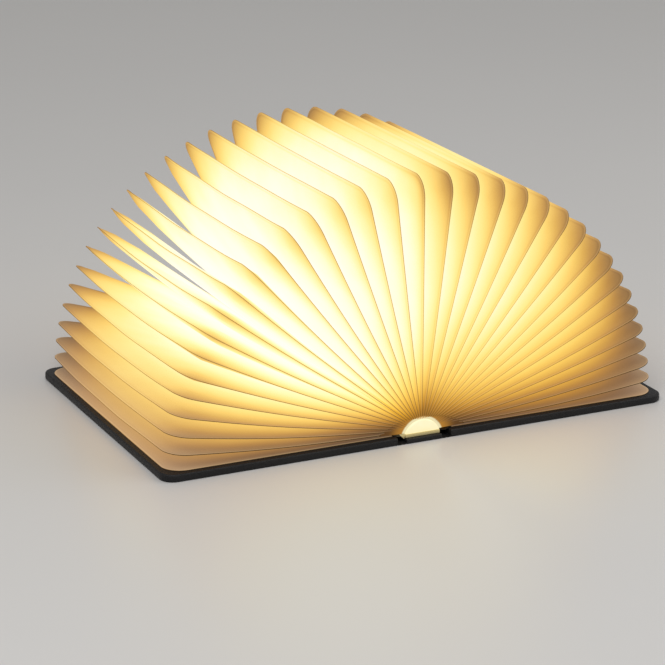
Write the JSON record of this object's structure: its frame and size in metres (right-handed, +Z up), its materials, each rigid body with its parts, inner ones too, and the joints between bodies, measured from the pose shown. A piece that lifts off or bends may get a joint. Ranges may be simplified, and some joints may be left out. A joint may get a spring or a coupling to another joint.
{
  "type": "folding book lamp",
  "caption": "Book-shaped rechargeable lamp whose two covers open flat and fan out translucent pages round an arched light along the spine.",
  "frame": {"origin": "on the table under the middle of the spine", "axes": "+X across the open covers to the right cover, +Y along the spine away from the viewer, +Z up"},
  "size_m": [0.3376, 0.213, 0.1633],
  "materials": {
    "paper": "translucent non-woven paper, warm white",
    "leatherette": "fine-grained black leatherette",
    "board": "grey-brown bookbinder's board",
    "opal": "opal light diffuser",
    "white_plastic": "white moulded plastic",
    "aluminium": "extruded strip",
    "circuit": "green circuit board",
    "led_white": "white circuit board",
    "led_yellow": "phosphor-coated light chips",
    "steel": "plated",
    "cell_wrap": "film-wrapped cell",
    "black_plastic": "black"
  },
  "bodies": {
    "base": {"spine_wrap": "leatherette", "spine_board": "board", "module_tray": "white_plastic", "diffuser": "opal", "near_end_cap": "opal", "far_end_cap": "opal", "battery_cell": "cell_wrap", "led_bar": "aluminium", "led_board": "led_white", "led_chips": "led_yellow", "charge_board": "circuit", "charge_socket": "steel", "hall_switch": "black_plastic", "module_screws": "steel", "middle_page": "paper", "left_page_folds": "paper", "right_page_folds": "paper", "left_hinge_cloth": "leatherette", "right_hinge_cloth": "leatherette"},
    "left_cover": {"left_cover_board": "board", "left_cover_wrap": "leatherette", "left_end_sheet": "paper", "left_cover_magnets": "steel", "switch_magnet": "steel"},
    "right_cover": {"right_cover_board": "board", "right_cover_wrap": "leatherette", "right_end_sheet": "paper", "right_cover_magnets": "steel"},
    "left_page_1": {"left_page_1": "paper"},
    "left_page_2": {"left_page_2": "paper"},
    "left_page_3": {"left_page_3": "paper"},
    "left_page_4": {"left_page_4": "paper"},
    "left_page_5": {"left_page_5": "paper"},
    "left_page_6": {"left_page_6": "paper"},
    "left_page_7": {"left_page_7": "paper"},
    "left_page_8": {"left_page_8": "paper"},
    "left_page_9": {"left_page_9": "paper"},
    "left_page_10": {"left_page_10": "paper"},
    "left_page_11": {"left_page_11": "paper"},
    "left_page_12": {"left_page_12": "paper"},
    "left_page_13": {"left_page_13": "paper"},
    "left_page_14": {"left_page_14": "paper"},
    "left_page_15": {"left_page_15": "paper"},
    "left_page_16": {"left_page_16": "paper"},
    "right_page_1": {"right_page_1": "paper"},
    "right_page_2": {"right_page_2": "paper"},
    "right_page_3": {"right_page_3": "paper"},
    "right_page_4": {"right_page_4": "paper"},
    "right_page_5": {"right_page_5": "paper"},
    "right_page_6": {"right_page_6": "paper"},
    "right_page_7": {"right_page_7": "paper"},
    "right_page_8": {"right_page_8": "paper"},
    "right_page_9": {"right_page_9": "paper"},
    "right_page_10": {"right_page_10": "paper"},
    "right_page_11": {"right_page_11": "paper"},
    "right_page_12": {"right_page_12": "paper"},
    "right_page_13": {"right_page_13": "paper"},
    "right_page_14": {"right_page_14": "paper"},
    "right_page_15": {"right_page_15": "paper"},
    "right_page_16": {"right_page_16": "paper"}
  },
  "joints": [
    {"name": "left_cover_hinge", "type": "hinge", "parent": "base", "child": "left_cover", "pos_m": [-0.017, 0, 0.0003], "axis": [0, 1, 0], "range_deg": [-96, 90], "deforming": ["left_page_folds"]},
    {"name": "right_cover_hinge", "type": "hinge", "parent": "base", "child": "right_cover", "pos_m": [0.017, 0, 0.0003], "axis": [0, -1, 0], "range_deg": [-96, 90], "deforming": ["right_page_folds"]},
    {"name": "left_page_1_fold", "type": "hinge", "parent": "base", "child": "left_page_1", "pos_m": [-0.00217, 0, 0.01093], "axis": [0, 1, 0], "range_deg": [-8.31, 7.85]},
    {"name": "left_page_2_fold", "type": "hinge", "parent": "base", "child": "left_page_2", "pos_m": [-0.00342, 0, 0.01079], "axis": [0, 1, 0], "range_deg": [-15.41, 14.51]},
    {"name": "left_page_3_fold", "type": "hinge", "parent": "base", "child": "left_page_3", "pos_m": [-0.00454, 0, 0.01055], "axis": [0, 1, 0], "range_deg": [-22.3, 20.97]},
    {"name": "left_page_4_fold", "type": "hinge", "parent": "base", "child": "left_page_4", "pos_m": [-0.0056, 0, 0.01024], "axis": [0, 1, 0], "range_deg": [-28.99, 27.24]},
    {"name": "left_page_5_fold", "type": "hinge", "parent": "base", "child": "left_page_5", "pos_m": [-0.0066, 0, 0.00985], "axis": [0, 1, 0], "range_deg": [-35.47, 33.31]},
    {"name": "left_page_6_fold", "type": "hinge", "parent": "base", "child": "left_page_6", "pos_m": [-0.00758, 0, 0.0094], "axis": [0, 1, 0], "range_deg": [-41.74, 39.19]},
    {"name": "left_page_7_fold", "type": "hinge", "parent": "base", "child": "left_page_7", "pos_m": [-0.00854, 0, 0.00887], "axis": [0, 1, 0], "range_deg": [-47.8, 44.88]},
    {"name": "left_page_8_fold", "type": "hinge", "parent": "base", "child": "left_page_8", "pos_m": [-0.00948, 0, 0.00827], "axis": [0, 1, 0], "range_deg": [-53.66, 50.37]},
    {"name": "left_page_9_fold", "type": "hinge", "parent": "base", "child": "left_page_9", "pos_m": [-0.0104, 0, 0.00761], "axis": [0, 1, 0], "range_deg": [-59.3, 55.66]},
    {"name": "left_page_10_fold", "type": "hinge", "parent": "base", "child": "left_page_10", "pos_m": [-0.01132, 0, 0.00687], "axis": [0, 1, 0], "range_deg": [-64.74, 60.76]},
    {"name": "left_page_11_fold", "type": "hinge", "parent": "base", "child": "left_page_11", "pos_m": [-0.01222, 0, 0.00607], "axis": [0, 1, 0], "range_deg": [-69.97, 65.66]},
    {"name": "left_page_12_fold", "type": "hinge", "parent": "base", "child": "left_page_12", "pos_m": [-0.01311, 0, 0.0052], "axis": [0, 1, 0], "range_deg": [-75, 70.37]},
    {"name": "left_page_13_fold", "type": "hinge", "parent": "base", "child": "left_page_13", "pos_m": [-0.014, 0, 0.00426], "axis": [0, 1, 0], "range_deg": [-79.81, 74.89]},
    {"name": "left_page_14_fold", "type": "hinge", "parent": "base", "child": "left_page_14", "pos_m": [-0.01488, 0, 0.00326], "axis": [0, 1, 0], "range_deg": [-84.42, 79.21]},
    {"name": "left_page_15_fold", "type": "hinge", "parent": "base", "child": "left_page_15", "pos_m": [-0.01575, 0, 0.00218], "axis": [0, 1, 0], "range_deg": [-88.82, 83.33]},
    {"name": "left_page_16_fold", "type": "hinge", "parent": "base", "child": "left_page_16", "pos_m": [-0.01662, 0, 0.00103], "axis": [0, 1, 0], "range_deg": [-93.02, 87.26]},
    {"name": "right_page_1_fold", "type": "hinge", "parent": "base", "child": "right_page_1", "pos_m": [0.00217, 0, 0.01065], "axis": [0, -1, 0], "range_deg": [-8.66, 8.18]},
    {"name": "right_page_2_fold", "type": "hinge", "parent": "base", "child": "right_page_2", "pos_m": [0.00342, 0, 0.0105], "axis": [0, -1, 0], "range_deg": [-16.07, 15.13]},
    {"name": "right_page_3_fold", "type": "hinge", "parent": "base", "child": "right_page_3", "pos_m": [0.00454, 0, 0.01027], "axis": [0, -1, 0], "range_deg": [-23.23, 21.84]},
    {"name": "right_page_4_fold", "type": "hinge", "parent": "base", "child": "right_page_4", "pos_m": [0.0056, 0, 0.00995], "axis": [0, -1, 0], "range_deg": [-30.13, 28.31]},
    {"name": "right_page_5_fold", "type": "hinge", "parent": "base", "child": "right_page_5", "pos_m": [0.0066, 0, 0.00955], "axis": [0, -1, 0], "range_deg": [-36.79, 34.55]},
    {"name": "right_page_6_fold", "type": "hinge", "parent": "base", "child": "right_page_6", "pos_m": [0.00758, 0, 0.00909], "axis": [0, -1, 0], "range_deg": [-43.19, 40.55]},
    {"name": "right_page_7_fold", "type": "hinge", "parent": "base", "child": "right_page_7", "pos_m": [0.00854, 0, 0.00856], "axis": [0, -1, 0], "range_deg": [-49.34, 46.32]},
    {"name": "right_page_8_fold", "type": "hinge", "parent": "base", "child": "right_page_8", "pos_m": [0.00948, 0, 0.00796], "axis": [0, -1, 0], "range_deg": [-55.24, 51.85]},
    {"name": "right_page_9_fold", "type": "hinge", "parent": "base", "child": "right_page_9", "pos_m": [0.0104, 0, 0.00729], "axis": [0, -1, 0], "range_deg": [-60.88, 57.14]},
    {"name": "right_page_10_fold", "type": "hinge", "parent": "base", "child": "right_page_10", "pos_m": [0.01132, 0, 0.00656], "axis": [0, -1, 0], "range_deg": [-66.28, 62.2]},
    {"name": "right_page_11_fold", "type": "hinge", "parent": "base", "child": "right_page_11", "pos_m": [0.01222, 0, 0.00577], "axis": [0, -1, 0], "range_deg": [-71.42, 67.02]},
    {"name": "right_page_12_fold", "type": "hinge", "parent": "base", "child": "right_page_12", "pos_m": [0.01311, 0, 0.00492], "axis": [0, -1, 0], "range_deg": [-76.32, 71.61]},
    {"name": "right_page_13_fold", "type": "hinge", "parent": "base", "child": "right_page_13", "pos_m": [0.014, 0, 0.00401], "axis": [0, -1, 0], "range_deg": [-80.96, 75.96]},
    {"name": "right_page_14_fold", "type": "hinge", "parent": "base", "child": "right_page_14", "pos_m": [0.01488, 0, 0.00304], "axis": [0, -1, 0], "range_deg": [-85.34, 80.07]},
    {"name": "right_page_15_fold", "type": "hinge", "parent": "base", "child": "right_page_15", "pos_m": [0.01575, 0, 0.00201], "axis": [0, -1, 0], "range_deg": [-89.48, 83.95]},
    {"name": "right_page_16_fold", "type": "hinge", "parent": "base", "child": "right_page_16", "pos_m": [0.01662, 0, 0.00094], "axis": [0, -1, 0], "range_deg": [-93.37, 87.59]}
  ],
  "couplings": [
    {"joint": "left_page_1_fold", "follows": "left_cover_hinge", "ratio": 0.07614},
    {"joint": "left_page_2_fold", "follows": "left_cover_hinge", "ratio": 0.15011},
    {"joint": "left_page_3_fold", "follows": "left_cover_hinge", "ratio": 0.22193},
    {"joint": "left_page_4_fold", "follows": "left_cover_hinge", "ratio": 0.29157},
    {"joint": "left_page_5_fold", "follows": "left_cover_hinge", "ratio": 0.35905},
    {"joint": "left_page_6_fold", "follows": "left_cover_hinge", "ratio": 0.42437},
    {"joint": "left_page_7_fold", "follows": "left_cover_hinge", "ratio": 0.48752},
    {"joint": "left_page_8_fold", "follows": "left_cover_hinge", "ratio": 0.54851},
    {"joint": "left_page_9_fold", "follows": "left_cover_hinge", "ratio": 0.60734},
    {"joint": "left_page_10_fold", "follows": "left_cover_hinge", "ratio": 0.664},
    {"joint": "left_page_11_fold", "follows": "left_cover_hinge", "ratio": 0.71849},
    {"joint": "left_page_12_fold", "follows": "left_cover_hinge", "ratio": 0.77082},
    {"joint": "left_page_13_fold", "follows": "left_cover_hinge", "ratio": 0.82098},
    {"joint": "left_page_14_fold", "follows": "left_cover_hinge", "ratio": 0.86899},
    {"joint": "left_page_15_fold", "follows": "left_cover_hinge", "ratio": 0.91482},
    {"joint": "left_page_16_fold", "follows": "left_cover_hinge", "ratio": 0.95849},
    {"joint": "right_page_1_fold", "follows": "right_cover_hinge", "ratio": 0.0798},
    {"joint": "right_page_2_fold", "follows": "right_cover_hinge", "ratio": 0.15698},
    {"joint": "right_page_3_fold", "follows": "right_cover_hinge", "ratio": 0.23153},
    {"joint": "right_page_4_fold", "follows": "right_cover_hinge", "ratio": 0.30347},
    {"joint": "right_page_5_fold", "follows": "right_cover_hinge", "ratio": 0.37278},
    {"joint": "right_page_6_fold", "follows": "right_cover_hinge", "ratio": 0.43947},
    {"joint": "right_page_7_fold", "follows": "right_cover_hinge", "ratio": 0.50354},
    {"joint": "right_page_8_fold", "follows": "right_cover_hinge", "ratio": 0.56498},
    {"joint": "right_page_9_fold", "follows": "right_cover_hinge", "ratio": 0.62381},
    {"joint": "right_page_10_fold", "follows": "right_cover_hinge", "ratio": 0.68001},
    {"joint": "right_page_11_fold", "follows": "right_cover_hinge", "ratio": 0.73359},
    {"joint": "right_page_12_fold", "follows": "right_cover_hinge", "ratio": 0.78454},
    {"joint": "right_page_13_fold", "follows": "right_cover_hinge", "ratio": 0.83288},
    {"joint": "right_page_14_fold", "follows": "right_cover_hinge", "ratio": 0.87859},
    {"joint": "right_page_15_fold", "follows": "right_cover_hinge", "ratio": 0.92168},
    {"joint": "right_page_16_fold", "follows": "right_cover_hinge", "ratio": 0.96215}
  ]
}
